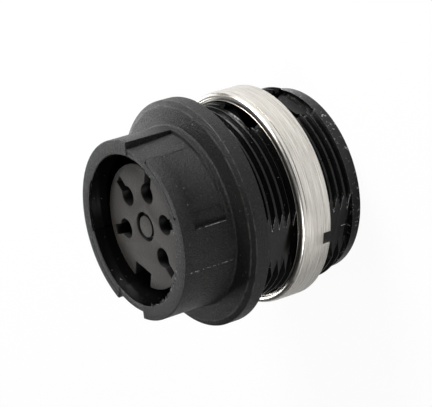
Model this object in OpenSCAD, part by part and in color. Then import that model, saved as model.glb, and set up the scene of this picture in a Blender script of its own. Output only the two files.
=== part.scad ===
// Panel-mount circular receptacle, five contacts and a key slot.
// The part stands on its rear end: Z = 0 is the rear end face, and +Z points
// along the plug's axis towards the mating face. +Y runs through the narrow
// coding track and the spare key slot lies on -Y. All sizes are millimetres.

/* [Collar] */
// Outside diameter of the mating collar
collar_d = 16.3; // [15.9:0.1:17]
// Inside diameter of the mating collar
collar_bore_d = 13.7; // [13.3:0.1:13.9]
// Length of the collar in front of the flange
collar_len = 5.3; // [4.7:0.05:6.5]
// Depth of the socket behind the rim
socket_depth = 9; // [8:0.1:9.5]
// Chamfer on the rim's two edges
rim_chamfer = 0.06; // [0.04:0.01:0.3]

/* [Bayonet tracks] */
// Wall left between the bore and the floor of a track
track_wall = 0.65; // [0.5:0.05:0.8]
// Height of the stub of full collar left behind the tracks
track_stub = 0.6; // [0.4:0.05:1]
// Length of the land in front of a track's locking stretch
track_land = 1.4; // [1:0.1:2]
// Angle of the narrow entry keyway
narrow_key_angle = 23; // [18:1:28]
// Angle of the wide entry keyway, on the opposite side
wide_key_angle = 29; // [24:1:34]
// Angle over which a plug's key turns to lock
lock_angle = 53; // [40:1:60]
// Angle of the shallow relief inside the collar
relief_angle = 42; // [30:1:50]
// Depth of the shallow relief inside the collar
relief_depth = 0.2; // [0.1:0.05:0.3]

/* [Flange] */
// Outside diameter of the flange
flange_d = 20.66; // [20:0.02:22]
// Thickness of the flange at the collar's root
flange_thk = 1.9; // [1.7:0.05:3]
// Fall of the flange's front face from the collar's root to the edge chamfer
flange_fall = 0.3; // [0.1:0.05:0.4]
// Width of the chamfer on the flange's front edge
edge_w = 0.55; // [0.3:0.05:0.8]
// Height of the chamfer on the flange's front edge
edge_h = 0.3; // [0.2:0.05:0.5]
// Fillet where the collar meets the flange
root_fillet = 0.25; // [0.1:0.05:0.5]
// Chamfer on the flange's rear edge
flange_chamfer = 0.12; // [0.05:0.01:0.3]
// Depth of the relief inside the flange's rear face, round the thread
seat_relief = 0.2; // [0.1:0.05:0.3]
// Distance of the relief's outer wall outside the thread's crests
seat_gap = 0.16; // [0.1:0.02:0.3]

/* [Threaded shank] */
// Length of the shank behind the flange
shank_len = 11.45; // [10.7:0.05:13]
// Diameter over the thread's crests
thread_d = 17.84; // [17.7:0.02:18.2]
// Pitch of the thread
thread_pitch = 0.75; // [0.7:0.05:0.8]
// Height of the thread
thread_depth = 0.42; // [0.38:0.02:0.5]
// Length of the plain lead-in at the rear end
lead_len = 1.25; // [1:0.05:1.6]
// Length of the plain neck behind the flange
neck_len = 0.75; // [0.5:0.05:1.2]
// Depth of the two flats beside the parting line, below the crests
flat_depth = 0.53; // [0.48:0.01:0.65]
// Width of the axial pocket that stops the shell turning in its panel
pocket_w = 4.8; // [4:0.1:5.2]
// Length of the axial pocket
pocket_len = 7; // [6:0.1:8]
// Distance of the pocket's floor from the axis
pocket_floor = 7.95; // [7.8:0.05:8.2]

/* [Ring nut] */
// Radial thickness of the ring nut outside the thread's crests
nut_wall = 0.88; // [0.6:0.01:1.2]
// Height of the ring nut
nut_h = 3.1; // [2.8:0.1:3.6]
// Whole turns of thread left behind the ring nut
nut_turns = 4; // [2:1:6]
// Radius of the nut's front edge
nut_round = 0.4; // [0.2:0.05:0.6]
// Chamfer on the nut's rear edge
nut_chamfer = 0.12; // [0.05:0.01:0.25]
// Width of the nut's two spanner notches
notch_w = 1.1; // [0.8:0.1:1.6]
// Depth of the nut's two spanner notches
notch_depth = 0.8; // [0.5:0.1:1.2]
// Radial clearance between the nut's thread and the shank's
thread_gap = 0.06; // [0.04:0.01:0.1]
// Axial clearance on each flank of the nut's thread
flank_gap = 0.03; // [0.02:0.005:0.04]

/* [Contact carrier] */
// Diameter of the carrier's post
post_d = 11.4; // [11.2:0.1:11.8]
// Distance of the post's face behind the rim
face_depth = 1.35; // [0.8:0.05:2]
// Diameter of the circle that the contacts stand on
contact_circle_d = 6.66; // [6.5:0.02:6.8]
// Diameter of a contact hole in the face
hole_d = 1.84; // [1.8:0.02:2]
// Width of the slot beside each contact hole
slot_w = 0.95; // [0.8:0.05:1.1]
// Distance of the slot's outer end from the axis
slot_reach = 5.2; // [5:0.05:5.4]
// Depth of the slots behind the face
slot_depth = 4; // [3:0.1:5]
// Width of the key slot at the post's edge
key_w = 2.45; // [2:0.05:2.7]
// Distance of the key slot's floor from the axis
key_floor = 4.17; // [4:0.05:4.5]
// Depth of the key slot behind the face
key_depth = 6; // [5:0.1:6.5]
// Diameter of the blind recess in the middle of the face
dial_d = 2.7; // [2.4:0.1:2.9]
// Depth of the blind recess
dial_depth = 0.45; // [0.3:0.05:0.6]
// Thickness of the carrier's seating flange
seat_thk = 2; // [1.8:0.1:2.4]

/* [Rear chamber] */
// Diameter of the chamber behind the web
chamber_d = 13.8; // [13.6:0.1:14]
// Thickness of the web that the carrier seats against
web_thk = 1.2; // [1:0.1:1.5]
// Thickness of the contact retainer
retainer_thk = 2; // [1.6:0.1:2.2]
// Thickness of the retaining ring
clip_thk = 0.6; // [0.5:0.05:0.8]
// Radial width of the retaining ring
clip_w = 0.75; // [0.6:0.05:0.8]
// Depth of the retaining ring's groove
clip_groove = 0.3; // [0.2:0.05:0.35]
// Angle of the retaining ring's gap
clip_gap_angle = 34; // [26:1:44]
// Width of the rib that stops the inserts turning
rib_w = 1.2; // [0.8:0.1:1.6]
// Height of that rib
rib_h = 0.4; // [0.3:0.05:0.5]
// Thickness of the seal under the carrier's flange
seal_d = 0.7; // [0.6:0.02:0.76]

/* [Contacts] */
// Diameter of the mating pin's bore
pin_bore_d = 1.06; // [1:0.02:1.1]
// Outside diameter of a contact's barrel
barrel_d = 1.44; // [1.38:0.02:1.48]
// Distance of the barrel's mouth behind the carrier's face
barrel_drop = 1.55; // [1.3:0.05:2]
// Depth of the mating pin's bore
bore_depth = 5; // [4:0.1:5.5]
// Width of the slit between a barrel's two tines
slit_w = 0.2; // [0.15:0.01:0.25]
// Wall of the hood over the tines
hood_wall = 0.12; // [0.1:0.01:0.13]
// Height of the hood in front of the barrel's mouth
hood_lead = 0.5; // [0.4:0.05:0.7]
// Diameter of a contact's shoulder
shoulder_d = 2.4; // [2:0.1:2.6]
// Thickness of a contact's shoulder
shoulder_thk = 1; // [0.8:0.1:1.2]
// Diameter of a contact's tail in the retainer
tail_d = 1.2; // [1:0.05:1.3]
// Outside diameter of a solder cup
cup_d = 1.7; // [1.5:0.05:1.75]
// Bore of a solder cup
cup_bore_d = 1.1; // [0.9:0.05:1.2]
// Depth of a solder cup
cup_depth = 2.4; // [1.8:0.1:2.8]
// Distance of the solder cups' ends inside the rear end
cup_inset = 0.5; // [0.3:0.1:1]

/* [Fits] */
// Clearance round pieces that slide into the shell or the carrier
fit_gap = 0.05; // [0.03:0.01:0.08]

/* [Hidden] */
$fn = 96;
cut = 0.5;            // how far a cutting shape runs past what it cuts

// heights above the rear end
flange_z = shank_len;
collar_z = flange_z + flange_thk;
rim_z = collar_z + collar_len;
face_z = rim_z - face_depth;
web_front_z = rim_z - socket_depth;
web_rear_z = web_front_z - web_thk;
seat_z = web_rear_z - seat_thk;
clip_top_z = seat_z - retainer_thk;
clip_z = clip_top_z - clip_thk;
rib_top_z = seat_z + seat_thk / 2;

// radii
bore_r = collar_bore_d / 2;
collar_r = collar_d / 2;
track_r = bore_r + track_wall;
chamber_r = chamber_d / 2;
crest_r = thread_d / 2;
root_r = crest_r - thread_depth;
insert_r = chamber_r - fit_gap;
post_r = post_d / 2;
contact_r = contact_circle_d / 2;

// directions round the axis, from +X towards +Y
narrow_key_dir = 90;
wide_key_dir = narrow_key_dir + 182;
relief_dir = narrow_key_dir + 97;
contact_dirs = [210, 150, 90, 30, 330];
key_dir = 270;
notch_dir = 1.5;

// thread form
crest_flat = thread_pitch / 8;
root_flat = thread_pitch / 4;
flank = (thread_pitch - crest_flat - root_flat) / 2;
first_crest_z = lead_len + flank - crest_flat / 2;
crest_count = floor((flange_z - neck_len - first_crest_z) / thread_pitch) + 1;

// ring nut
nut_ridges = floor(nut_h / thread_pitch);
nut_mid_z = first_crest_z + (nut_turns + nut_ridges / 2) * thread_pitch;
nut_z = nut_mid_z - nut_h / 2;
nut_r = crest_r + nut_wall;
nut_major_r = crest_r + thread_gap;
nut_minor_r = root_r + thread_gap;

// contacts
barrel_top_z = face_z - barrel_drop;
hood_top_z = barrel_top_z + hood_lead;
hood_r = barrel_d / 2 + fit_gap / 2 + hood_wall;

// seal and its groove in the carrier's flange
seal_gap = 0.02;
seal_mid_r = (post_r + insert_r) / 2;
seal_z = web_rear_z - seal_gap / 2 - seal_d / 2;

// ---- shared shapes -------------------------------------------------------

// Points of an arc about c, from angle a0 to a1
function arc(c, r, a0, a1, steps = 8) =
    [for (i = [0:steps]) let (a = a0 + (a1 - a0) * i / steps) c + r * [cos(a), sin(a)]];

// A ring sector between two radii, centred on a direction
module sector(r_in, r_out, z, h, dir, angle) {
    translate([0, 0, z]) rotate([0, 0, dir - angle / 2])
        rotate_extrude(angle = angle) translate([r_in, 0]) square([r_out - r_in, h]);
}

// Puts its children at a contact's place, with +X pointing away from the axis
module at_contact(i) {
    rotate([0, 0, contact_dirs[i - 1]]) translate([contact_r, 0, 0]) children();
}

// A plain tube
module tube(z, h, r_out, r_in) {
    translate([0, 0, z]) difference() {
        cylinder(h = h, r = r_out);
        translate([0, 0, -cut]) cylinder(h = h + 2 * cut, r = r_in);
    }
}

// ---- shell ---------------------------------------------------------------

// Outline of one thread crest, from the root behind it to the root in front
function crest_points(z) = [
    [root_r, z - crest_flat / 2 - flank], [crest_r, z - crest_flat / 2],
    [crest_r, z + crest_flat / 2], [root_r, z + crest_flat / 2 + flank]];

function thread_points() =
    [for (i = [0:crest_count - 1]) each crest_points(first_crest_z + i * thread_pitch)];

// Outside of the shell, turned in one go from the rear end to the rim
module shell_blank() {
    flange_r = flange_d / 2;
    seat_r = crest_r + seat_gap;
    rotate_extrude() polygon(concat(
        [[0, 0], [root_r - rim_chamfer, 0], [root_r, rim_chamfer]],
        thread_points(),
        [[root_r, flange_z + seat_relief], [seat_r, flange_z + seat_relief], [seat_r, flange_z],
            [flange_r - flange_chamfer, flange_z], [flange_r, flange_z + flange_chamfer]],
        [[flange_r, collar_z - flange_fall - edge_h], [flange_r - edge_w, collar_z - flange_fall]],
        arc([collar_r + root_fillet, collar_z + root_fillet], root_fillet, 270, 180, 4),
        [[collar_r, rim_z - rim_chamfer], [collar_r - rim_chamfer, rim_z], [0, rim_z]]));
}

// Keyway from the rim to the stub, and the stretch where a plug's key locks
module coding_track(dir, key_angle) {
    floor_z = collar_z + track_stub;
    sector(track_r, collar_r + cut, floor_z, collar_len + cut, dir, key_angle);
    sector(track_r, collar_r + cut, floor_z, collar_len - track_stub - track_land,
        dir - (key_angle + lock_angle) / 2 + 1, lock_angle + 2);
}

// Stepped bore: socket, web, and rear chamber with its ring groove
module shell_bore() {
    translate([0, 0, web_front_z]) cylinder(h = socket_depth + cut, r = bore_r);
    translate([0, 0, rim_z - rim_chamfer])
        cylinder(h = rim_chamfer + cut, r1 = bore_r, r2 = bore_r + rim_chamfer + cut);
    cylinder(h = rim_z, r = post_r + fit_gap);
    translate([0, 0, -cut]) cylinder(h = web_rear_z + cut, r = chamber_r);
    translate([0, 0, -cut]) cylinder(h = 2 * cut, r1 = chamber_r + 2 * cut - rim_chamfer, r2 = chamber_r - rim_chamfer);
    translate([0, 0, clip_z - fit_gap / 2]) cylinder(h = clip_thk + fit_gap, r = chamber_r + clip_groove);
    sector(bore_r - cut, bore_r + relief_depth, web_front_z, socket_depth + cut, relief_dir, relief_angle);
}

module shank_flats() {
    for (side = [0, 180]) rotate([0, 0, side])
        translate([crest_r - flat_depth, -crest_r, lead_len])
            cube([flat_depth + cut, 2 * crest_r, flange_z - lead_len]);
}

module shell() {
    color([0.06, 0.06, 0.065]) {
        difference() {
            shell_blank();
            shell_bore();
            coding_track(narrow_key_dir, narrow_key_angle);
            coding_track(wide_key_dir, wide_key_angle);
            shank_flats();
            translate([-pocket_w / 2, pocket_floor, lead_len + crest_flat])
                cube([pocket_w, thread_d, pocket_len]);
        }
        rotate([0, 0, key_dir]) translate([chamber_r - rib_h, -rib_w / 2, clip_top_z + fit_gap])
            cube([rib_h + clip_groove, rib_w, rib_top_z - clip_top_z - fit_gap]);
    }
}

// ---- ring nut ------------------------------------------------------------

// Half the width of a groove's floor
nut_groove_half = crest_flat / 2 + flank_gap + flank * thread_gap / thread_depth;

// One groove between two of the nut's ridges
function nut_groove_points(z) = [
    [nut_minor_r, z - nut_groove_half - flank], [nut_major_r, z - nut_groove_half],
    [nut_major_r, z + nut_groove_half], [nut_minor_r, z + nut_groove_half + flank]];

module ring_nut() {
    chamfer_r = nut_major_r + 0.08;
    last_groove = (nut_ridges / 2 - 1) * thread_pitch + nut_groove_half + flank;
    lead = min(0.9 * (chamfer_r - nut_minor_r), nut_h / 2 - last_groove - 0.005);
    grooves = [for (i = [1:nut_ridges - 1])
        each nut_groove_points(nut_mid_z + (i - nut_ridges / 2) * thread_pitch)];
    color([0.78, 0.76, 0.72]) difference() {
        rotate_extrude() polygon(concat(
            [[chamfer_r, nut_z], [nut_r - nut_chamfer, nut_z], [nut_r, nut_z + nut_chamfer]],
            arc([nut_r - nut_round, nut_z + nut_h - nut_round], nut_round, 0, 90),
            [[chamfer_r, nut_z + nut_h], [nut_minor_r, nut_z + nut_h - lead]],
            [for (i = [len(grooves) - 1:-1:0]) grooves[i]],
            [[nut_minor_r, nut_z + lead]]));
        for (side = [0, 180]) rotate([0, 0, notch_dir + side])
            translate([root_r, -notch_w / 2, nut_z - cut])
                cube([nut_r, notch_w, notch_depth + cut]);
    }
}

// ---- inserts -------------------------------------------------------------

// Notch that fits over the shell's rib
module rib_notch() {
    rotate([0, 0, key_dir]) translate([insert_r - rib_h, -rib_w / 2 - fit_gap, clip_z])
        cube([rib_h + cut, rib_w + 2 * fit_gap, rib_top_z + fit_gap - clip_z]);
}

// Keyhole in the face, and the stepped hole that a contact stands in
module contact_hole() {
    translate([0, 0, web_front_z]) cylinder(h = rim_z, r = hole_d / 2);
    translate([0, -slot_w / 2, face_z - slot_depth])
        cube([slot_reach - contact_r, slot_w, slot_depth + cut]);
    translate([0, 0, seat_z - cut]) cylinder(h = rim_z, r = barrel_d / 2 + fit_gap);
    translate([0, 0, seat_z - cut]) cylinder(h = shoulder_thk + cut, r = shoulder_d / 2 + fit_gap);
}

// Blind recess with a plain disc and a pointer groove in it
module dial() {
    pointer = dial_d / 10;
    translate([0, 0, face_z - dial_depth]) difference() {
        cylinder(h = dial_depth + cut, r = dial_d / 2);
        translate([0, 0, -cut]) difference() {
            cylinder(h = dial_depth / 2 + cut, r = dial_d / 2 - pointer);
            translate([-pointer / 2, -dial_d / 6, 0]) cube([pointer, dial_d / 2, dial_depth + 2 * cut]);
        }
    }
}

module contact_carrier() {
    groove_w = seal_d + 2 * seal_gap;
    color([0.17, 0.165, 0.155]) difference() {
        union() {
            translate([0, 0, seat_z]) cylinder(h = seat_thk, r = insert_r);
            translate([0, 0, seat_z]) cylinder(h = face_z - seat_z, r = post_r);
        }
        for (i = [1:len(contact_dirs)]) at_contact(i) contact_hole();
        rotate([0, 0, key_dir]) translate([key_floor, -key_w / 2, face_z - key_depth])
            cube([post_r, key_w, key_depth + cut]);
        dial();
        rib_notch();
        tube(seal_z - seal_d / 2 - seal_gap, groove_w + cut, seal_mid_r + groove_w / 2, seal_mid_r - groove_w / 2);
    }
}

module contact_retainer() {
    color([0.1, 0.1, 0.1]) difference() {
        translate([0, 0, clip_top_z]) cylinder(h = retainer_thk, r = insert_r);
        for (i = [1:len(contact_dirs)]) at_contact(i)
            translate([0, 0, clip_z]) cylinder(h = rim_z, r = tail_d / 2 + fit_gap);
        rib_notch();
    }
}

module carrier_seal() {
    color([0.05, 0.05, 0.05]) translate([0, 0, seal_z])
        rotate_extrude() translate([seal_mid_r, 0]) circle(d = seal_d);
}

// Internal snap ring, with an eye at each end for pliers
module retaining_ring() {
    clip_r = chamber_r + clip_groove - fit_gap;
    eye_r = clip_w;
    eye_mid_r = clip_r - clip_groove - eye_r;
    color([0.55, 0.55, 0.56]) translate([0, 0, clip_z]) difference() {
        union() {
            rotate([0, 0, narrow_key_dir + clip_gap_angle / 2])
                rotate_extrude(angle = 360 - clip_gap_angle) translate([clip_r - clip_w, 0]) square([clip_w, clip_thk]);
            for (side = [-1, 1]) rotate([0, 0, narrow_key_dir + side * clip_gap_angle / 2])
                translate([eye_mid_r, side * eye_r / 2, 0]) cylinder(h = clip_thk, r = eye_r);
        }
        for (side = [-1, 1]) rotate([0, 0, narrow_key_dir + side * clip_gap_angle / 2])
            translate([eye_mid_r, side * eye_r / 2, -cut]) cylinder(h = clip_thk + 2 * cut, r = eye_r / 2.5);
    }
}

// ---- contacts ------------------------------------------------------------

// Turned contact: slit barrel, shoulder, tail and solder cup
module contact(i) {
    cup_top_z = clip_top_z - fit_gap;
    color([0.8, 0.65, 0.35]) at_contact(i) difference() {
        union() {
            translate([0, 0, seat_z]) cylinder(h = barrel_top_z - seat_z, r = barrel_d / 2);
            translate([0, 0, seat_z]) cylinder(h = shoulder_thk, r = shoulder_d / 2);
            translate([0, 0, cup_top_z]) cylinder(h = seat_z - cup_top_z + shoulder_thk / 2, r = tail_d / 2);
            translate([0, 0, cup_inset]) cylinder(h = cup_top_z - cup_inset, r = cup_d / 2);
        }
        translate([0, 0, barrel_top_z - bore_depth]) cylinder(h = bore_depth + cut, r = pin_bore_d / 2);
        translate([-barrel_d, -slit_w / 2, barrel_top_z - bore_depth])
            cube([2 * barrel_d, slit_w, bore_depth + cut]);
        translate([0, 0, cup_inset - cut]) cylinder(h = cup_depth + cut, r = cup_bore_d / 2);
        translate([cup_bore_d / 4, -cup_d / 2, cup_inset - cut]) cube([cup_d, cup_d, cup_depth * 2 / 3 + cut]);
    }
}

// Thin hood pressed over the tines, with a closed entry for the pin
module contact_hood(i) {
    lip_r = pin_bore_d / 2 + fit_gap / 2;
    color([0.7, 0.7, 0.7]) at_contact(i) difference() {
        translate([0, 0, web_front_z]) cylinder(h = hood_top_z - web_front_z, r = hood_r);
        translate([0, 0, web_front_z - cut])
            cylinder(h = hood_top_z - hood_wall - web_front_z + cut, r = hood_r - hood_wall);
        translate([0, 0, web_front_z]) cylinder(h = rim_z, r = lip_r);
    }
}

shell();
ring_nut();
contact_carrier();
contact_retainer();
carrier_seal();
retaining_ring();
contact(1);  // contact_1
contact(2);  // contact_2
contact(3);  // contact_3
contact(4);  // contact_4
contact(5);  // contact_5
contact_hood(1);  // contact_hood_1
contact_hood(2);  // contact_hood_2
contact_hood(3);  // contact_hood_3
contact_hood(4);  // contact_hood_4
contact_hood(5);  // contact_hood_5
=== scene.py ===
# %% [markdown]
# # A circular panel receptacle, dressed
# The object is the panel half of a round connector: a black moulded shell with a keyed collar, a
# flange and a threaded shank, a nickel ring nut that turns on the shank, and a dark grey post with
# five contacts in the collar. The solids come from the fixed frame in metres. This notebook gives
# them finishes, and swaps the pieces that everybody sees (shell, ring nut, contact carrier and the
# contacts' hoods) for finer meshes of the same size. Sizes are written in millimetres: heights are
# measured from the rear end face, and radii from the axis.

# %% Load the fixed frame
import math
import random

import bmesh
import bpy
from mathutils import Matrix, Vector


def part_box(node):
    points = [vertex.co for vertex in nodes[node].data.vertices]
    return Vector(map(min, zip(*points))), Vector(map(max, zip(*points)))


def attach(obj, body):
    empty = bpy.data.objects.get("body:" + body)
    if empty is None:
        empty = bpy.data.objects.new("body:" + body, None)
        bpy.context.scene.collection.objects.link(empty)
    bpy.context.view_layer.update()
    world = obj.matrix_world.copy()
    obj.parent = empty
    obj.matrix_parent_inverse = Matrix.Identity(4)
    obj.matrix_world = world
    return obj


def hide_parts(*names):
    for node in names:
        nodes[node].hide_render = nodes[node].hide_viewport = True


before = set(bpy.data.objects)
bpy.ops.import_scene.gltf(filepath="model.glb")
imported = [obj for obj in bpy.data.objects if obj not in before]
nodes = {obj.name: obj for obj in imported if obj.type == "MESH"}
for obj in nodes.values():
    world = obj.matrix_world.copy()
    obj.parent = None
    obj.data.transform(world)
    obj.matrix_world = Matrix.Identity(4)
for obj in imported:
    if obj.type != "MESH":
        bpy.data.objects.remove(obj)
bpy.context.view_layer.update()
MM = 0.001
for name in ("shell", "ring_nut", "contact_carrier"):
    low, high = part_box(name)
    print(name, [round(v / MM, 2) for v in (*low, *high)])

# %% [markdown]
# ## Camera
# A small object like this is seen from a distance with a long lens, so its circles turn into
# ellipses that hardly taper. The camera is described the way it would be set up by hand: a point
# to aim at, a distance, a direction round the object, a height above the horizon, and a roll. The
# connector stands on its rear end here, and the roll lays it on its side.

# %% Camera
AIM = Vector((2.4575, 1.9495, 11.5814)) * MM
DISTANCE = 175 * MM
AZIMUTH, ELEVATION, ROLL = 126.219, 31.532, -107.242
FOCAL_LENGTH, SENSOR = 166.667, 36

a, e = math.radians(AZIMUTH), math.radians(ELEVATION)
back = Vector((math.sin(a) * math.cos(e), -math.cos(a) * math.cos(e), math.sin(e)))
level_right = Vector((0, 0, 1)).cross(back).normalized()
level_up = back.cross(level_right)
turn = math.radians(ROLL)
right = level_right * math.cos(turn) + level_up * math.sin(turn)
up = back.cross(right)

lens = bpy.data.cameras.new("camera")
lens.lens, lens.sensor_width = FOCAL_LENGTH, SENSOR
lens.clip_start, lens.clip_end = 0.005, 5
camera = bpy.data.objects.new("camera", lens)
bpy.context.scene.collection.objects.link(camera)
camera.matrix_world = Matrix((
    (right.x, up.x, back.x, AIM.x + back.x * DISTANCE),
    (right.y, up.y, back.y, AIM.y + back.y * DISTANCE),
    (right.z, up.z, back.z, AIM.z + back.z * DISTANCE),
    (0, 0, 0, 1)))
bpy.context.scene.camera = camera
bpy.context.scene.view_settings.view_transform = "Standard"
print("camera at", [round(v / MM, 1) for v in camera.location])

# %% [markdown]
# ## Node helper
# Every finish below is a Principled shader whose colour, roughness and bump come from noise on
# Object coordinates, so the pattern is fixed to the object and has a real size in metres. The
# helper makes the shader and hands back short functions that add and link nodes. `above`, `below`
# and `band` turn a height or a radius into a mask, so that a finish changes where the piece does.


# %% Node helper
class Finish:
    """A material with a Principled shader, and a few words to wire patterns into it."""

    def __init__(self, name, **sockets):
        self.material = bpy.data.materials.new(name)
        self.material.use_nodes = True
        self.tree = self.material.node_tree
        self.tree.nodes.clear()
        out = self.add("ShaderNodeOutputMaterial")
        self.shader = self.add("ShaderNodeBsdfPrincipled")
        self.tree.links.new(self.shader.outputs[0], out.inputs["Surface"])
        for socket, value in sockets.items():
            self.shader.inputs[socket.replace("_", " ")].default_value = value
        self.place = self.add("ShaderNodeTexCoord").outputs["Object"]

    def add(self, kind, **settings):
        node = self.tree.nodes.new(kind)
        for key, value in settings.items():
            setattr(node, key, value)
        return node

    def feed(self, node, **links):
        """Links an output to a named input, or sets the input to a plain value."""
        for key, value in links.items():
            socket = node.inputs[int(key[1:]) if key[1:].isdigit() else key.replace("_", " ")]
            if isinstance(value, bpy.types.NodeSocket):
                self.tree.links.new(value, socket)
            else:
                socket.default_value = value
        return node

    def noise(self, per_mm, detail=2.0, roughness=0.5, vector=None):
        """Noise with about per_mm blobs in a millimetre."""
        node = self.add("ShaderNodeTexNoise")
        self.feed(node, Vector=vector or self.place, Scale=per_mm / MM, Detail=detail,
                  Roughness=roughness)
        return node.outputs["Fac"]

    def span(self, value, low, high, to_low, to_high):
        """Maps low..high onto to_low..to_high."""
        node = self.add("ShaderNodeMapRange")
        self.feed(node, Value=value, _1=low, _2=high, _3=to_low, _4=to_high)
        return node.outputs[0]

    def above(self, value, low, high):
        """Rises from 0 at low to 1 at high, both in millimetres."""
        return self.span(value, low * MM, high * MM, 0, 1)

    def below(self, value, low, high):
        """Falls from 1 at low to 0 at high, both in millimetres."""
        return self.span(value, low * MM, high * MM, 1, 0)

    def band(self, value, low, high, soft):
        """1 between low and high, with soft edges inside them, all in millimetres."""
        return self.fold("MULTIPLY", self.above(value, low, low + soft),
                         self.below(value, high - soft, high))

    def fold(self, how, first, *others):
        """Adds, multiplies or compares values, one after another."""
        for other in others:
            node = self.add("ShaderNodeMath", operation=how)
            first = self.feed(node, _0=first, _1=other).outputs[0]
        return first

    def blend(self, factor, first, second):
        """Mixes two colours by a factor."""
        node = self.add("ShaderNodeMix", data_type="RGBA")
        self.feed(node, _0=factor, _6=first, _7=second)
        return node.outputs[2]

    def between(self, factor, first, second):
        """Mixes two plain values by a factor."""
        node = self.add("ShaderNodeMix", data_type="FLOAT")
        self.feed(node, _0=factor, _2=first, _3=second)
        return node.outputs[0]

    def axes(self):
        """X, Y and height of the point that is shaded."""
        split = self.add("ShaderNodeSeparateXYZ")
        self.feed(split, Vector=self.place)
        return split.outputs["X"], split.outputs["Y"], split.outputs["Z"]

    def radius(self):
        """Distance from the object's axis."""
        x, y, _ = self.axes()
        flat = self.add("ShaderNodeCombineXYZ")
        self.feed(flat, X=x, Y=y)
        length = self.add("ShaderNodeVectorMath", operation="LENGTH")
        self.feed(length, _0=flat.outputs[0])
        return length.outputs["Value"]

    def bump(self, height, microns, strength=1.0):
        node = self.add("ShaderNodeBump")
        self.feed(node, Height=height, Distance=microns * 1e-6, Strength=strength)
        return node.outputs[0]

    def wire(self, **links):
        """Feeds the shader and hands over the finished material."""
        self.feed(self.shader, **links)
        return self.material


def grey(level, warm=0.0):
    """A neutral colour in linear light, a little redder or bluer."""
    return (level * (1 + warm), level, level * (1 - warm), 1)


# %% [markdown]
# ## Black moulded plastic
# The shell comes from a mould whose collar and flange are spark-eroded, so they carry a fine grain
# and scatter light softly, and the plastic shows as black with grey specks. The flange gets only a
# third of the specks, which darkens it as painted shade. The shank and the socket are formed by
# smooth steel, so they are glossier and get no grey specks; a smooth black wall looks darker than a
# grained one, and inside the socket that darker colour is also painted shade. The floor of the
# pocket is the exception: it is ungrained but dull. The two edges of the flange's chamfer are
# painted pale, which is a painted highlight. A part that has been handled wears too: the plain ring
# at the rear end has lost flakes. Height and radius say which of these a point gets.

# %% Black moulded plastic
RIM, ROOT, SEAT = 18.65, 13.35, 11.45  # heights of the collar's rim, its foot, the flange's rear
BORE_R = 6.85
LEAD_IN = 1.25  # height of the plain ring in front of the rear end
POCKET_CORNER_R, POCKET_TOP = 8.3, 8.34  # radius at the corners of its floor, and its height
FLANGE_EDGE, CONE_EDGE = 12.74, 13.02  # heights of the chamfer's outer and inner edge


def black_plastic():
    f = Finish("black_plastic", Metallic=0.0, IOR=1.5, Specular_IOR_Level=0.34)
    _, _, height = f.axes()
    radius = f.radius()
    outside = f.fold("MAXIMUM", f.above(radius, BORE_R + 0.21, BORE_R + 0.25),
                     f.above(height, RIM - 0.07, RIM - 0.03))
    grained = f.fold("MULTIPLY", f.above(height, SEAT - 0.05, SEAT + 0.05), outside)
    flange = f.below(height, ROOT + 0.01, ROOT + 0.05)
    pocket = f.fold("MULTIPLY", f.below(radius, POCKET_CORNER_R - 0.02, POCKET_CORNER_R + 0.02),
                    f.below(height, POCKET_TOP, POCKET_TOP + 0.02))

    speck = f.span(f.noise(5.5, detail=2, roughness=0.6), 0.48, 0.68, 0, 1)
    # Painted shade: the flange keeps only a third of the grey specks and the socket's wall none, so
    # both are darker.
    speck = f.fold("MULTIPLY", speck, grained, f.span(flange, 0, 1, 1, 0.35))
    plain = f.blend(speck, grey(0.0020, 0.03), grey(0.020, 0.03))
    dust = f.span(f.noise(5.5, detail=1, roughness=0.4), 0.765, 0.80, 0, 0.5)
    flakes = f.fold("MULTIPLY", f.span(f.noise(2.6, detail=5, roughness=0.75), 0.585, 0.62, 0, 0.9),
                    f.span(f.noise(0.45, detail=1), 0.38, 0.48, 0.15, 1),
                    f.below(height, LEAD_IN + 0.05, LEAD_IN + 0.11))
    # Painted highlight: the chamfer's two edges are painted pale grey.
    edges = f.fold("ADD", f.band(height, FLANGE_EDGE - 0.01, FLANGE_EDGE + 0.10, 0.03),
                   f.band(height, CONE_EDGE - 0.01, CONE_EDGE + 0.06, 0.02))
    edges = f.fold("MULTIPLY", edges, f.span(f.noise(1.2, detail=2), 0.4, 0.6, 0.02, 0.13))
    tone = f.blend(f.fold("MAXIMUM", edges, dust, flakes), plain, grey(0.30, 0.02))

    grain = f.noise(6.5, detail=3, roughness=0.7)
    matt = f.fold("ADD", f.span(grain, 0.3, 0.7, 0.30, 0.60), f.span(flange, 0, 1, 0, 0.08))
    glossy = f.fold("ADD", f.span(grain, 0.3, 0.7, 0.15, 0.22), f.span(pocket, 0, 1, 0, 0.26))
    relief = f.fold("MULTIPLY", grain, grained, f.span(flange, 0, 1, 1, 0.6))
    return f.wire(Base_Color=tone, Roughness=f.between(grained, glossy, matt),
                  Normal=f.bump(relief, 130))


shell_finish = black_plastic()
print("shell finish", len(shell_finish.node_tree.nodes), "nodes")

# %% [markdown]
# ## Dark grey post
# The contact carrier is a second moulding in a drier, warmer grey. Its face is rubbed and dull,
# while the walls of its holes come from polished pins. So the roughness and the bump change a hair
# below the face, and so does the tone: the holes and the post's side are painted almost black,
# which is painted shade, and the holes turn deep, smooth and almost black.

# %% Dark grey post
FACE = 17.3


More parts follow.
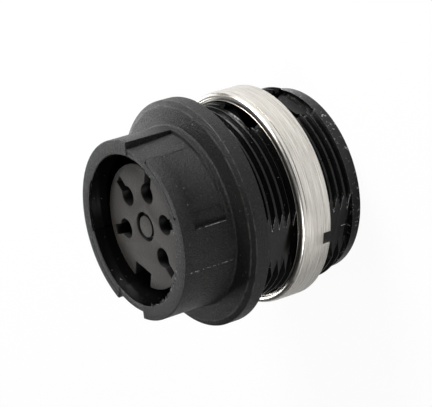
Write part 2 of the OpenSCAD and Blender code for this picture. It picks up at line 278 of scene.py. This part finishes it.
def carrier_plastic():
    f = Finish("carrier_plastic", Metallic=0.0, IOR=1.5, Specular_IOR_Level=0.4)
    _, _, height = f.axes()
    face = f.above(height, FACE - 0.14, FACE - 0.06)
    grain = f.noise(6, detail=4, roughness=0.7)
    clouds = f.blend(f.noise(0.5, detail=4, roughness=0.6), grey(0.026, 0.12), grey(0.040, 0.12))
    rough = f.fold("MULTIPLY", f.span(grain, 0.3, 0.7, 0.46, 0.66), f.span(face, 0, 1, 0.8, 1))
    # Painted shade: below the face, the holes and the post's side are painted almost black.
    return f.wire(Base_Color=f.blend(face, grey(0.0015, 0.03), clouds), Roughness=rough,
                  Normal=f.bump(f.fold("MULTIPLY", grain, face), 80, 0.7))


carrier_finish = carrier_plastic()
print("carrier finish", len(carrier_finish.node_tree.nodes), "nodes")

# %% [markdown]
# ## Brushed nickel
# The nut is turned on a lathe and then brushed while it spins, so the scratches run round the
# ring. The noise is read at a point made of radius and height, which makes it some eighty times
# finer across the scratches than along them. The rounded front edge is buffed, so the scratches
# can be seen there but are hardly felt.

# %% Brushed nickel
nut_low, nut_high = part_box("ring_nut")
NUT_LOW, NUT_TOP = nut_low.z / MM, nut_high.z / MM
STRETCH = 0.012


def brushed_nickel():
    f = Finish("brushed_nickel", Metallic=1.0, Anisotropic=0.55)
    tangent = f.add("ShaderNodeTangent", direction_type="RADIAL", axis="Z")
    x, y, height = f.axes()
    way = f.add("ShaderNodeCombineXYZ")
    f.feed(way, X=f.fold("MULTIPLY", x, STRETCH), Y=f.fold("MULTIPLY", y, STRETCH),
           Z=f.fold("ADD", f.radius(), height))
    scratches = f.noise(24, detail=5, roughness=0.7, vector=way.outputs[0])
    clouds = f.span(f.noise(0.4, detail=3), 0.3, 0.7, 0.85, 1)
    tone = f.blend(f.fold("MULTIPLY", f.span(scratches, 0.36, 0.64, 0, 1), clouds),
                   (0.40, 0.38, 0.34, 1), (0.88, 0.85, 0.80, 1))
    side = f.span(height, (NUT_TOP - 0.69) * MM, (NUT_TOP - 0.54) * MM, 1, 0.2)
    return f.wire(Base_Color=tone, Roughness=f.span(scratches, 0.3, 0.7, 0.22, 0.38),
                  Tangent=tangent.outputs[0],
                  Normal=f.bump(f.fold("MULTIPLY", scratches, side), 1.5, 0.35))


nut_finish = brushed_nickel()
print("nut from", round(NUT_LOW, 2), "to", round(NUT_TOP, 2))

# %% [markdown]
# ## Small hidden pieces
# Contacts are turned from brass and plated, the retaining ring is spring steel, and the seal is
# rubber. The hoods over the contacts are steel painted almost black, as painted shade, and only the
# rolled lip at their front is painted bright, as a painted glint. Little of all this shows, but
# each piece gets its own finish.

# %% Small hidden pieces
HOOD_TOP = 16.25


def plated(name, dark, light, low, high):
    """A metal between two tones and two roughnesses."""
    f = Finish(name, Metallic=1.0)
    turning = f.noise(9, detail=4, roughness=0.6)
    return f.wire(Base_Color=f.blend(f.noise(1.1, detail=3), dark, light),
                  Roughness=f.span(turning, 0.3, 0.7, low, high), Normal=f.bump(turning, 1.5, 0.4))


def rubber():
    f = Finish("seal_rubber", Metallic=0.0, IOR=1.5, Specular_IOR_Level=0.4)
    bloom = f.noise(2.5, detail=4, roughness=0.6)
    return f.wire(Base_Color=f.blend(bloom, grey(0.012), grey(0.026)),
                  Roughness=f.span(bloom, 0.3, 0.7, 0.55, 0.8), Normal=f.bump(bloom, 4, 0.5))


def hood_steel_painted_glint():
    """Steel painted almost black as painted shade, with a painted glint on its rolled front lip."""
    f = Finish("hood_painted_shade_and_glint", Metallic=1.0)
    _, _, height = f.axes()
    clouds = f.noise(3, detail=3)
    # Painted glint on the lip, painted shade on the rest of the hood.
    lip = f.fold("MULTIPLY", f.above(height, HOOD_TOP - 0.08, HOOD_TOP - 0.04), clouds)
    return f.wire(Base_Color=f.blend(lip, grey(0.012, 0.02), grey(0.85, 0.02)),
                  Roughness=f.span(clouds, 0.3, 0.7, 0.30, 0.42), Normal=f.bump(clouds, 3, 0.4))


contact_finish = plated("silver_plated_brass", (0.50, 0.44, 0.33, 1), (0.74, 0.70, 0.60, 1),
                        0.2, 0.36)
hood_finish = hood_steel_painted_glint()
clip_finish = plated("spring_steel", grey(0.26, 0.03), grey(0.42, 0.03), 0.28, 0.45)
seal_finish = rubber()


def dress(piece, finish):
    """Gives a mesh one finish all over."""
    piece.data.materials.clear()
    piece.data.materials.append(finish)
    return piece


for name, node in nodes.items():
    if name.startswith("contact_hood"):
        dress(node, hood_finish)
    elif name in ("contact_carrier", "contact_retainer"):
        dress(node, carrier_finish)
    elif name.startswith("contact_"):
        dress(node, contact_finish)
dress(nodes["carrier_seal"], seal_finish)
dress(nodes["retaining_ring"], clip_finish)
print("finishes given to the", len(nodes), "solids, apart from shell and nut")

# %% [markdown]
# ## Turned shapes, blocks and rods
# The shell, the nut and the post are all turned shapes with a few cuts, as they would be on a lathe
# and a mill. `turned` spins an outline of radius and height round the axis, and with less than a
# full turn it makes a sector with closed ends. `block` and `rod` are the plain cutters.


# %% Turned shapes, blocks and rods
def arc(radius, height, size, start, end, steps):
    """Points of a rounded corner about (radius, height), in degrees."""
    turns = [math.radians(start + (end - start) * i / steps) for i in range(steps + 1)]
    return [(radius + size * math.cos(t), height + size * math.sin(t)) for t in turns]


def as_object(name, bm):
    bmesh.ops.remove_doubles(bm, verts=bm.verts, dist=1e-7)
    bmesh.ops.recalc_face_normals(bm, faces=bm.faces)
    mesh = bpy.data.meshes.new(name)
    bm.to_mesh(mesh)
    bm.free()
    piece = bpy.data.objects.new(name, mesh)
    bpy.context.scene.collection.objects.link(piece)
    return piece


def turned(name, outline, steps=240, start=0.0, angle=360.0):
    """Spins an outline of (radius, height) in millimetres round the axis, from start degrees."""
    bm = bmesh.new()
    way = Matrix.Rotation(math.radians(start), 3, "Z")
    corners = [bm.verts.new(way @ Vector((r * MM, 0, z * MM))) for r, z in outline]
    rim = [bm.edges.new((corners[i - 1], corners[i])) for i in range(len(corners))]
    if angle < 360:
        section = bm.faces.new(corners)
        bmesh.ops.spin(bm, geom=[section], cent=(0, 0, 0), axis=(0, 0, 1),
                       angle=math.radians(angle), steps=steps)
    else:
        bmesh.ops.spin(bm, geom=corners + rim, cent=(0, 0, 0), axis=(0, 0, 1),
                       angle=math.tau, steps=steps, use_merge=True)
    return as_object(name, bm)


def block(name, low, high, about_z=0.0):
    """A box between two corners in millimetres, turned about the axis."""
    bm = bmesh.new()
    bmesh.ops.create_cube(bm, size=1)
    size = Vector(high) - Vector(low)
    middle = (Vector(high) + Vector(low)) / 2
    bmesh.ops.scale(bm, vec=size * MM, verts=bm.verts)
    bmesh.ops.translate(bm, vec=middle * MM, verts=bm.verts)
    bmesh.ops.rotate(bm, cent=(0, 0, 0), matrix=Matrix.Rotation(math.radians(about_z), 3, "Z"),
                     verts=bm.verts)
    return as_object(name, bm)


def rod(name, radius, low, high, x=0.0, y=0.0, segments=48):
    """A plain cylinder in millimetres, used as a cutter or a core."""
    bm = bmesh.new()
    bmesh.ops.create_cone(bm, cap_ends=True, segments=segments, radius1=radius * MM,
                          radius2=radius * MM, depth=(high - low) * MM)
    bmesh.ops.translate(bm, vec=(x * MM, y * MM, (high + low) / 2 * MM), verts=bm.verts)
    return as_object(name, bm)


# %% [markdown]
# ## Cutting and finishing
# `combine` takes one mesh away from another, or joins them, with a Boolean. `finished` breaks the
# sharp edges with a small Bevel, because no moulded edge is truly sharp, and the thin line of light
# along it is what makes a piece look real. Then it hangs the piece on the body that it moves with.

# %% Cutting and finishing
BREAK_FROM, SMOOTH_TO = math.radians(28), math.radians(30)


def apply_all(piece):
    """Turns a piece's modifiers into plain mesh."""
    graph = bpy.context.evaluated_depsgraph_get()
    mesh = bpy.data.meshes.new_from_object(piece.evaluated_get(graph))
    old = piece.data
    piece.modifiers.clear()
    piece.data = mesh
    mesh.name = piece.name
    bpy.data.meshes.remove(old)
    return piece


def combine(piece, tools, how="DIFFERENCE"):
    """Cuts tools from a piece, or joins them to it, and throws the tools away."""
    for tool in tools:
        step = piece.modifiers.new("cut", "BOOLEAN")
        step.operation, step.solver, step.object = how, "MANIFOLD", tool
        apply_all(piece)
        bpy.data.objects.remove(tool)
    return piece


def finished(piece, finish, body, width=0.03):
    """Breaks the edges, shades the round faces smoothly, and hangs the piece on its body."""
    if width:
        edge = piece.modifiers.new("edges", "BEVEL")
        edge.width, edge.segments, edge.limit_method = width * MM, 2, "ANGLE"
        edge.angle_limit = BREAK_FROM
        edge.use_clamp_overlap, edge.harden_normals = False, False
        apply_all(piece)
    piece.data.shade_smooth()
    piece.data.set_sharp_from_angle(angle=SMOOTH_TO)
    dress(piece, finish)
    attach(piece, body)
    tris = sum(len(p.vertices) - 2 for p in piece.data.polygons)
    print(piece.name, tris, "triangles")
    return piece


# %% [markdown]
# ## Shell
# One outline runs up the outside of the shell and back down its stepped bore: from the rear end
# over the shank, the flange and the collar to the rim, then down the socket, past the web that
# carries the post, and through the rear chamber with the groove for its snap ring. A lathe would
# cut it the same way, and a spin keeps every wall exactly round.

# %% Shell outline
COLLAR_R, FLANGE_R, RELIEF_R = 8.15, 10.33, 9.08
CREST_R, ROOT_R = 8.92, 8.5
WEB_R, WEB_TOP, WEB_LOW = 5.75, 9.65, 8.45
CHAMBER_R, CLIP_R, CLIP_LOW, CLIP_TOP = 6.9, 7.2, 3.825, 4.475
shell_outline = [
    (CHAMBER_R + 0.09, 0), (ROOT_R - 0.04, 0), (ROOT_R, 0.04), (ROOT_R, SEAT + 0.2),
    (RELIEF_R, SEAT + 0.2), (RELIEF_R, SEAT), (FLANGE_R - 0.12, SEAT),
    *arc(FLANGE_R - 0.08, SEAT + 0.08, 0.08, -60, 0, 3),
    (FLANGE_R, FLANGE_EDGE - 0.02), *arc(FLANGE_R - 0.1, FLANGE_EDGE, 0.1, 0, 58, 4),
    *arc(9.80, 12.95, 0.1, 58, 80, 3), *arc(COLLAR_R + 0.25, ROOT + 0.25, 0.25, 262, 180, 6),
    (COLLAR_R, RIM - 0.04), (COLLAR_R - 0.04, RIM),
    (BORE_R + 0.05, RIM), (BORE_R, RIM - 0.05), (BORE_R, WEB_TOP), (WEB_R, WEB_TOP),
    (WEB_R, WEB_LOW), (CHAMBER_R, WEB_LOW), (CHAMBER_R, CLIP_TOP), (CLIP_R, CLIP_TOP),
    (CLIP_R, CLIP_LOW), (CHAMBER_R, CLIP_LOW), (CHAMBER_R, 0.09)]
shell = turned("shell_moulding", shell_outline)
print("shell outline", len(shell_outline), "points")

# %% [markdown]
# ## Thread
# The thread isn't in the outline, because a thread is a helix: a small ridge that spins round the
# shank and climbs one pitch a turn. Its section is a trapezium with a broken crest, sunk a little
# into the shank so that the Boolean joins solid to solid. Towards both ends the ridge sinks away
# within fifty degrees, as a moulded thread does where the mould's cavity runs out.

# %% Thread
PITCH, TURNS, STEPS_A_TURN, FADE = 0.75, 12.55, 120, 50
START = -60
FIRST_CREST = 1.40 + PITCH * (START - 67) / 360  # a crest passes 1.40 mm at 67 degrees
SUNK = ROOT_R - 0.15


def thread(name):
    """A right-handed ridge that climbs a pitch a turn and fades out at both ends."""
    slope = 0.23 / (CREST_R - ROOT_R)
    foot = 0.047 + slope * (CREST_R - SUNK)
    outline = [(SUNK, -foot), (CREST_R - 0.02, -0.055), (CREST_R, -0.035), (CREST_R, 0.035),
               (CREST_R - 0.02, 0.055), (SUNK, foot)]
    bm = bmesh.new()
    way = Matrix.Rotation(math.radians(START), 3, "Z")
    section = bm.faces.new([bm.verts.new(way @ Vector((r * MM, 0, (FIRST_CREST + z) * MM)))
                            for r, z in outline])
    bmesh.ops.spin(bm, geom=[section], cent=(0, 0, 0), axis=(0, 0, 1), angle=math.tau * TURNS,
                   dvec=(0, 0, PITCH * MM / STEPS_A_TURN), steps=round(TURNS * STEPS_A_TURN))
    for v in bm.verts:
        turn_here = (math.degrees(math.atan2(v.co.y, v.co.x)) - START) / 360
        guess = (v.co.z / MM - FIRST_CREST) / PITCH
        along = turn_here + round(guess - turn_here)
        ends = min(along, TURNS - along) * 360 / FADE
        if ends < 1:
            r = math.hypot(v.co.x, v.co.y) / MM
            keep = (SUNK + (r - SUNK) * (0.25 + 0.75 * max(ends, 0))) / r
            v.co.x *= keep
            v.co.y *= keep
    return as_object(name, bm)


ridge = thread("ridge")
low = min(v.co.z for v in ridge.data.vertices) / MM
high = max(v.co.z for v in ridge.data.vertices) / MM
print("thread from", round(low, 2), "to", round(high, 2))
combine(shell, [ridge], "UNION")

# %% [markdown]
# ## Coding tracks
# A plug goes in where the two keyways are, a narrow one and a wide one, and then its keys lock in
# the stretch beside each. On the real shell that stretch slopes behind a land and has a detent near
# its far end, and the rim shows a fine line and a step where two mould inserts meet. Each is a ring
# sector, so a spin of less than a full turn gives a cutter for it.

# %% Coding tracks
TRACK_R = 7.5
LOCK = 53  # degrees that a locking stretch reaches beside its keyway


def ring_cut(name, outline, first, last):
    """A ring sector between two directions, in degrees, from an outline of radius and height."""
    return turned(name, outline, steps=round((last - first) * 2), start=first, angle=last - first)


def track(name, middle, key):
    """A keyway from the rim, the stretch beside it where a plug's key locks, and its detent."""
    floor, land, out_r, rear_r = ROOT + 0.6, RIM - 1.4, COLLAR_R + 1, TRACK_R + 0.3
    land_r = TRACK_R + 0.3 * (RIM - land) / (RIM - floor)
    first, last = middle - key / 2, middle + key / 2
    entry = [(rear_r, floor), (out_r, floor), (out_r, RIM + 1), (TRACK_R - 0.06, RIM + 1)]
    turn_in = [(rear_r, floor), (out_r, floor), (out_r, land), (land_r, land)]
    detent = [(rear_r - 0.07, floor + 0.12), (out_r, floor + 0.12), (out_r, land - 0.2),
              (land_r - 0.05, land - 0.2)]
    line = [(TRACK_R - 0.01, RIM - 0.05), (TRACK_R + 0.04, RIM - 0.05), (TRACK_R + 0.04, RIM + 1),
            (TRACK_R - 0.01, RIM + 1)]
    step = [(BORE_R - 1, RIM - 0.05), (out_r, RIM - 0.05), (out_r, RIM + 1), (BORE_R - 1, RIM + 1)]
    return [ring_cut(name, entry, first, last),
            ring_cut(name + "_lock", turn_in, first - LOCK, first + 2),
            ring_cut(name + "_detent", detent, first - LOCK + 0.7, first - LOCK + 11),
            ring_cut(name + "_line", line, first - LOCK + 9, first + 0.5),
            ring_cut(name + "_step", step, first - 0.5, last + 0.3)]


tools = track("narrow", 90.02, 23.03) + track("wide", 272.02, 29.03)
relief = [(BORE_R - 0.5, WEB_TOP), (BORE_R + 0.2, WEB_TOP), (BORE_R + 0.2, RIM + 1),
          (BORE_R - 0.5, RIM + 1)]
tools.append(ring_cut("relief", relief, 166.03, 208.06))
print("collar cutters", len(tools))

# %% [markdown]
# ## Shank cuts
# Two flats keep the receptacle from turning in its panel, and an axial pocket between them takes a
# locating tab. Flats and pocket stop short of the rear end, where a plain ring leads the nut on to
# the thread. The pocket has a deeper middle that catches little light. Last comes the rib in the
# chamber that keeps the post from turning. It is joined after the cuts, so that nothing cuts it.

# %% Shank cuts
FLAT_R, POCKET_R, POCKET_HALF = 8.39, 7.95, 2.4
for side in (0, 180):
    tools.append(block("flat", (FLAT_R, -6, LEAD_IN), (9.6, 6, SEAT - 0.001), side))
tools.append(block("pocket", (-POCKET_HALF, POCKET_R, 1.34), (POCKET_HALF, 12, POCKET_TOP)))
tools.append(block("pocket_deep", (-POCKET_HALF + 0.01, POCKET_R - 0.21, 2.5),
                   (POCKET_HALF - 0.01, 8.5, 6.5)))
combine(shell, tools)
rib = block("rib", (6.5, -0.6, 4.5), (7.1, 0.6, 7.45), 270)
combine(shell, [rib], "UNION")
finished(shell, shell_finish, "receptacle")
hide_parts("shell")

# %% [markdown]
# ## Flash beads
# Where the halves of a mould meet, plastic squeezes out and leaves a line of tiny beads. They are
# small, but on a black piece each one is a bright fleck. They are one separate mesh: low
# icospheres set half into the surface, along the parting line on both sides of the collar, on the
# plain ring and the flats of the shank, and along two witness lines of the mould's inserts. The
# places are random from a fixed seed, so they are the same each time.

# %% Flash beads
dice = random.Random(7)


def whitened_plastic(name, scale, first, dark, pale):
    """Stressed plastic: dark, with patches that have gone pale."""
    f = Finish(name, Metallic=0.0, IOR=1.5, Specular_IOR_Level=0.12)
    patches = f.span(f.noise(scale, detail=2), first, first + 0.12, 0, 1)
    return f.wire(Base_Color=f.blend(patches, grey(dark), grey(pale)),
                  Roughness=f.span(patches, 0, 1, 0.35, 0.5), Normal=f.bump(patches, 5, 0.4))


def beads(name, spots):
    """One mesh of small balls, each a place in millimetres and a radius."""
    bm = bmesh.new()
    for spot, radius in spots:
        ball = bmesh.ops.create_icosphere(bm, subdivisions=1, radius=radius * MM)
        bmesh.ops.translate(bm, vec=Vector(spot) * MM, verts=ball["verts"])
    return as_object(name, bm)


def polar(radius, direction, height):
    t = math.radians(direction)
    return (radius * math.cos(t), radius * math.sin(t), height)


flash = []
for direction in (-0.5, 180):
    height = ROOT + 0.35
    while height < RIM - 0.25:
        height = min(height + dice.choice((0.07, 0.08, 0.10, 0.35)), RIM - 0.12)
        flash.append((polar(COLLAR_R, direction + dice.uniform(-0.1, 0.1), height),
                      dice.uniform(0.03, 0.055)))
    for height in (0.32, 0.38, 0.95, 1.02, 1.09, 1.16):
        flash.append((polar(ROOT_R, direction + dice.uniform(-0.3, 0.3), height), 0.06))
    for step in range(9):
        flash.append((polar(FLAT_R, direction + dice.uniform(-0.1, 0.1), 1.5 + 0.07 * step), 0.045))
for direction in (25.7, 204.6):
    height = ROOT + 0.7
    while height < RIM - 1.55:
        height += dice.uniform(0.05, 0.13)
        flash.append((polar(COLLAR_R - 0.03, direction, height), dice.uniform(0.03, 0.05)))
flash_finish = whitened_plastic("whitened_flash", 4, 0.40, 0.012, 0.38)
seam = finished(beads("flash_beads", flash), flash_finish, "receptacle", width=0)

# %% [markdown]
# ## Torn edge and ripple
# Plugs rub along the collar's inner edge. On one side they have torn it into a ragged burr that has
# gone pale in patches, and on the other they have only rippled it. Both are a thin fin that spins
# along the edge. Its free side is then pushed inwards at random, more where two slow waves and
# a bulge agree, which gives the long and short rags of a real tear.

# %% Torn edge and ripple
torn_finish = whitened_plastic("torn_edge", 3.2, 0.60, 0.001, 0.30)
fin = [(BORE_R + 0.02, RIM - 0.02), (BORE_R - 0.05, RIM - 0.05), (BORE_R + 0.02, RIM - 0.14)]
for name, finish, steps, start, angle, reach in (
        ("rim_burr", torn_finish, 270, -60, 147, 0.19),
        ("rim_ripple", shell_finish, 370, 87, 213, 0.06)):
    burr = turned(name, fin, steps=steps, start=start, angle=angle)
    for v in burr.data.vertices:
        radius = math.hypot(v.co.x, v.co.y) / MM
        if radius < BORE_R:
            direction = math.atan2(v.co.y, v.co.x)
            wave = 0.5 + 0.5 * math.sin(9 * direction) * math.sin(23 * direction + 1)
            bulge = math.exp(-4 * (direction + 0.45) ** 2)
            ragged = max(0.0, dice.gauss(0.15 + 0.4 * wave + 0.7 * bulge, 0.5))
            pull = (BORE_R + 0.01 - reach * min(ragged, 1.8)) / radius
            v.co.x, v.co.y = v.co.x * pull, v.co.y * pull
            v.co.z += dice.uniform(-0.03, 0.03) * MM
    finished(burr, finish, "receptacle", width=0)

# %% [markdown]
# ## Ring nut
# The nut is turned brass under nickel. Its front edge is rounded so that it doesn't cut the panel,
# and a fine step under the rounding shows where the brushing stops. A narrow groove runs round the
# front face beside the thread. Two notches in the rear edge take a pin spanner. One closed outline
# holds all but the notches, which two blocks cut.

# %% Ring nut
NUT_R, NUT_BORE = 9.80, 8.99
GROOVE_OUT, GROOVE_IN, GROOVE_DEPTH = NUT_BORE + 0.21, NUT_BORE + 0.11, 0.45
nut_outline = [
    (NUT_BORE + 0.06, NUT_LOW), (NUT_R - 0.08, NUT_LOW),
    *arc(NUT_R - 0.08, NUT_LOW + 0.08, 0.08, -60, 0, 3),
    (NUT_R, NUT_TOP - 0.62), (NUT_R - 0.03, NUT_TOP - 0.59), (NUT_R - 0.03, NUT_TOP - 0.52),
    *arc(NUT_R - 0.43, NUT_TOP - 0.4, 0.4, 0, 90, 10),
    (GROOVE_OUT + 0.03, NUT_TOP), (GROOVE_OUT, NUT_TOP - 0.03),
    (GROOVE_OUT, NUT_TOP - GROOVE_DEPTH), (GROOVE_IN, NUT_TOP - GROOVE_DEPTH),
    (GROOVE_IN, NUT_TOP - 0.04), (GROOVE_IN - 0.02, NUT_TOP - 0.02),
    (NUT_BORE + 0.05, NUT_TOP - 0.02), (NUT_BORE, NUT_TOP - 0.07), (NUT_BORE, NUT_LOW + 0.06)]
nut = turned("nut_ring", nut_outline)
notches = [block("notch", (8, -0.55, NUT_LOW - 1), (12, 0.55, NUT_LOW + 0.8), 1.5 + side)
           for side in (0, 180)]
combine(nut, notches)
finished(nut, nut_finish, "nut", width=0.025)
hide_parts("ring_nut")

# %% [markdown]
# ## Contact carrier
# The post is one moulding: a seating flange, a post, five stepped holes with a slot beside each, a
# key slot in the sixth place, a notch that rides on the chamber's rib, and a groove for the seal.
# Every hole steps down from the contact's hood to its barrel and out again to its shoulder, so each
# needs three rods as cutters.

# %% Contact carrier
POST_R, FOOT_R, FOOT_LOW, SHOULDER_TOP = 5.7, 6.85, 6.45, 7.45
CONTACT_R, CONTACTS = 3.33, (210, 150, 90, 30, 330)
carrier = rod("carrier_post", FOOT_R, FOOT_LOW, WEB_LOW, segments=180)
combine(carrier, [rod("post", POST_R, 7, FACE, segments=180)], "UNION")
tools = []
for direction in CONTACTS:
    x, y, _ = polar(CONTACT_R, direction, 0)
    tools += [rod("hole", 0.92, WEB_TOP, FACE + 1, x, y), rod("barrel_way", 0.77, 6, FACE, x, y),
              rod("shoulder_way", 1.25, 6, SHOULDER_TOP, x, y),
              block("slot", (CONTACT_R, -0.475, FACE - 4), (5.2, 0.475, FACE + 1), direction)]
tools.append(block("key_slot", (4.17, -1.225, FACE - 6), (7, 1.225, FACE + 1), 270))
tools.append(block("rib_way", (6.45, -0.65, 6), (8, 0.65, 7.5), 270))
tools.append(turned("seal_way", [(5.9, 7.72), (6.65, 7.72), (6.65, 9), (5.9, 9)], steps=120))
print("carrier cutters", len(tools))
combine(carrier, tools)

# %% [markdown]
# ## Recess in the post
# In the middle of the post sits a small blind recess with a plain disc in it, a little below the
# face. The disc's rod is taken from the recess's cutter, and what is left of that cutter, a cup
# upside down, takes the recess out of the post in one go and leaves the disc standing.

# %% Recess in the post
well = rod("well", 1.35, FACE - 0.45, FACE + 1)
combine(well, [rod("disc", 0.98, FACE - 1, FACE - 0.08)])
combine(carrier, [well])
finished(carrier, carrier_finish, "receptacle")
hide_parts("contact_carrier")

# %% [markdown]
# ## Contact hoods
# Each contact wears a thin steel hood that keeps its tines from spreading. Its rolled front lip is
# what glints at the bottom of a hole, so the hood is turned again with a round lip.

# %% Contact hoods
HOOD_R, HOOD_IN, LIP = 0.885, 0.765, 0.06
hood_outline = [(HOOD_IN, WEB_TOP + 0.02), (HOOD_R, WEB_TOP + 0.02), (HOOD_R, HOOD_TOP - LIP),
                *arc(HOOD_R - LIP, HOOD_TOP - LIP, LIP, 20, 160, 5), (HOOD_IN, HOOD_TOP - LIP)]
for number, direction in enumerate(CONTACTS, 1):
    hood = turned(f"hood_{number}", hood_outline, steps=64)
    hood.data.transform(Matrix.Translation(Vector(polar(CONTACT_R, direction, 0)) * MM))
    finished(hood, hood_finish, "receptacle", width=0)
    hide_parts(f"contact_hood_{number}")

# %% [markdown]
# ## Light
# Black plastic shows its form by reflections, so soft lights stand where its surfaces mirror them
# to the camera. The large one on top is the key: it lights the collar beside the narrow keyway and
# the nut's upper side. Two weaker ones stand behind the object, one high and one low, and graze its
# far edges. Two small ones brighten the floor near it, which the nut reflects, and the last draws
# thin lines along the rim and the flange. The world adds a plain, weak grey.

# %% Light
WORLD_GREY = 0.072


def softbox(name, place, size, watts, aim=(0, 0, 9)):
    """A square area light that looks at a point, all in millimetres."""
    light = bpy.data.lights.new(name, "AREA")
    light.size, light.energy = size * MM, watts
    lamp = bpy.data.objects.new(name, light)
    bpy.context.scene.collection.objects.link(lamp)
    place = Vector(place)
    look = (Vector(aim) - place).to_track_quat("-Z", "Y")
    lamp.matrix_world = Matrix.Translation(place * MM) @ look.to_matrix().to_4x4()


softbox("top", (-56, 99, 60), 60, 0.215)
softbox("left", (-94, -84, 84), 45, 0.052)
softbox("low_left", (-118, -24, 14), 60, 0.075)
softbox("floor_left", (-62, 58, 60), 30, 0.030, aim=(-30, 28, 0))
softbox("floor_right", (84, -22, 50), 22, 0.045, aim=(38, -9, 0))
softbox("edge", (-36, 85, 101), 24, 0.014)

# %% [markdown]
# ## White behind the object
# The camera sees plain white behind the object, while the object itself is lit by the weak grey.
# Light Path tells the two apart: its Is Camera Ray picks the white shader for the camera's own rays
# only. The floor does the same, but keeps a little of its diffuse part, so that the object's shadow
# stays on it.


# %% White behind the object
def empty_tree(owner, output):
    """Clears a node tree and gives it an output."""
    owner.use_nodes = True
    owner.node_tree.nodes.clear()
    return owner.node_tree, owner.node_tree.nodes.new(output)


def camera_sees(tree, others_see, camera_gets):
    """One shader for the camera's rays, another for all other rays."""
    path = tree.nodes.new("ShaderNodeLightPath")
    pick = tree.nodes.new("ShaderNodeMixShader")
    tree.links.new(path.outputs["Is Camera Ray"], pick.inputs[0])
    tree.links.new(others_see.outputs[0], pick.inputs[1])
    tree.links.new(camera_gets.outputs[0], pick.inputs[2])
    return pick


world = bpy.data.worlds.new("studio")
bpy.context.scene.world = world
tree, out = empty_tree(world, "ShaderNodeOutputWorld")
plain = tree.nodes.new("ShaderNodeBackground")
plain.inputs["Color"].default_value = (1, 1, 1, 1)
plain.inputs["Strength"].default_value = WORLD_GREY
white = tree.nodes.new("ShaderNodeBackground")
white.inputs["Color"].default_value = (1, 1, 1, 1)
white.inputs["Strength"].default_value = 1.0
tree.links.new(camera_sees(tree, plain, white).outputs[0], out.inputs[0])

# %% [markdown]
# ## Floor
# The floor is a pale sheet just under the rear end face, much wider than the object. It throws
# light back on to the flange and the nut, as a table does.

# %% Floor
FLOOR_HALF, FLOOR_GLOW = 150, 0.94
bm = bmesh.new()
bmesh.ops.create_grid(bm, x_segments=2, y_segments=2, size=FLOOR_HALF * MM)
bmesh.ops.translate(bm, vec=(0, 0, -0.02 * MM), verts=bm.verts)
floor = as_object("floor", bm)
ground = bpy.data.materials.new("pale_floor")
tree, out = empty_tree(ground, "ShaderNodeOutputMaterial")
matt = tree.nodes.new("ShaderNodeBsdfDiffuse")
matt.inputs["Color"].default_value = (0.8, 0.8, 0.8, 1)
glow = tree.nodes.new("ShaderNodeEmission")
glow.inputs["Strength"].default_value = 1.0
thin = tree.nodes.new("ShaderNodeMixShader")
thin.inputs[0].default_value = FLOOR_GLOW
tree.links.new(matt.outputs[0], thin.inputs[1])
tree.links.new(glow.outputs[0], thin.inputs[2])
tree.links.new(camera_sees(tree, matt, thin).outputs[0], out.inputs["Surface"])
dress(floor, ground)
print("floor", 2 * FLOOR_HALF, "mm wide")
